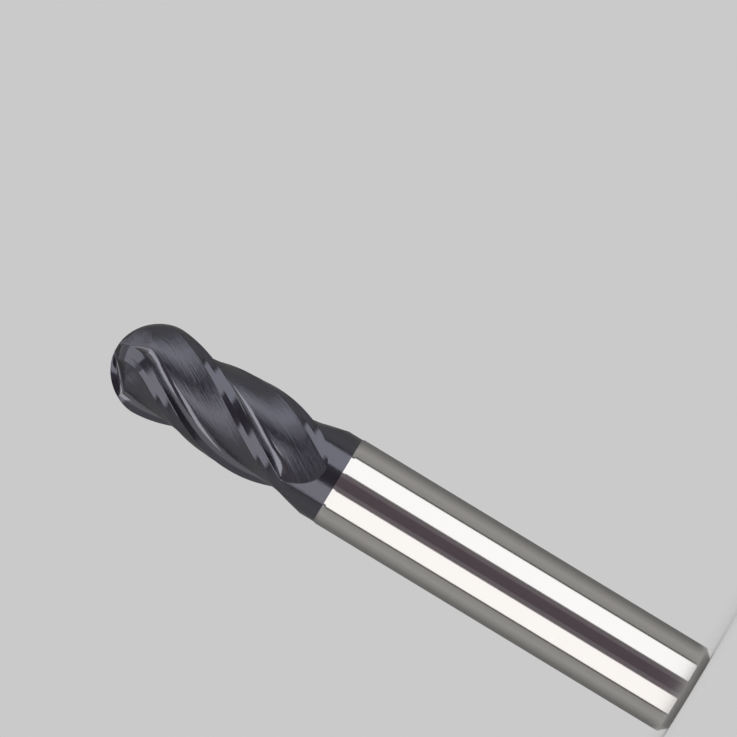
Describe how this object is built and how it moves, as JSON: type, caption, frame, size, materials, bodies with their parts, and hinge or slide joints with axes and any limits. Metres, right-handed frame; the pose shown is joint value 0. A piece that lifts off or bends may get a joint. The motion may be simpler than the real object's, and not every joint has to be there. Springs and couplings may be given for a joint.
{
  "type": "ball nose end mill",
  "caption": "Solid carbide ball nose end mill with right-hand helical flutes, a coated cutting end and a plain ground cylindrical shank.",
  "frame": {"origin": "centre of the shank's end face", "axes": "+Z along the tool axis towards the ball nose; the cutting edges are at 0, 90, 180 and 270 degrees from +X where they end at the neck"},
  "size_m": [0.012, 0.012, 0.083],
  "materials": {
    "carbide": "cemented carbide, ground bright on the shank; the cutting end has a dark titanium aluminium nitride coating"
  },
  "bodies": {
    "root": {"ball_nose_end_mill": "carbide"}
  },
  "joints": []
}
